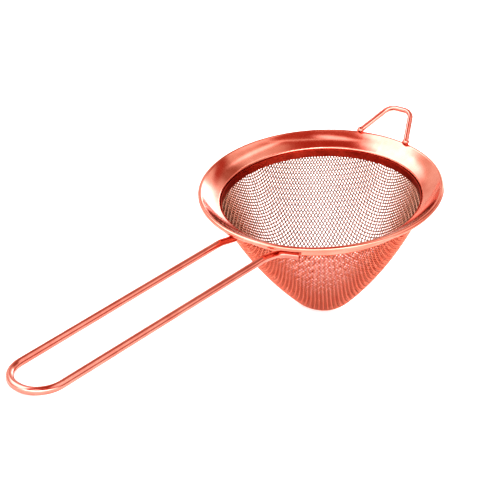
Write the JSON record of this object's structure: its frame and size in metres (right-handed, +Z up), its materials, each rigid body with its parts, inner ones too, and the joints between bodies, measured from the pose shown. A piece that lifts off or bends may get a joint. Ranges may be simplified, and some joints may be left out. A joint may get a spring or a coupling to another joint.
{
  "type": "conical mesh cocktail strainer",
  "caption": "Conical fine-mesh strainer with a dished rolled rim, a long bent-wire handle and a small wire rest opposite it, in polished copper finish.",
  "frame": {"origin": "on the table under the middle of the whole strainer, as it lies at rest on its nose and the end of its handle", "axes": "+X along the strainer from the handle's end to the rest loop, +Z up from the table, +Y to the left of the handle; the bowl's own axis leans 21.5 degrees from +Z towards -X"},
  "size_m": [0.1772, 0.085, 0.0741],
  "materials": {
    "rim_copper": "mirror-polished copper plate over stainless steel sheet",
    "band_copper": "satin copper plate over stainless steel strip",
    "cloth_copper": "woven stainless steel wire, copper plated",
    "wire_copper": "polished copper plate over bent stainless steel wire",
    "weld_copper": "plated weld metal, slightly rippled"
  },
  "bodies": {
    "root": {"rim_flange": "rim_copper", "retaining_band": "band_copper", "mesh_bowl": "cloth_copper", "handle_wire": "wire_copper", "handle_welds": "weld_copper", "rest_loop": "wire_copper", "rest_welds": "weld_copper"}
  },
  "joints": []
}
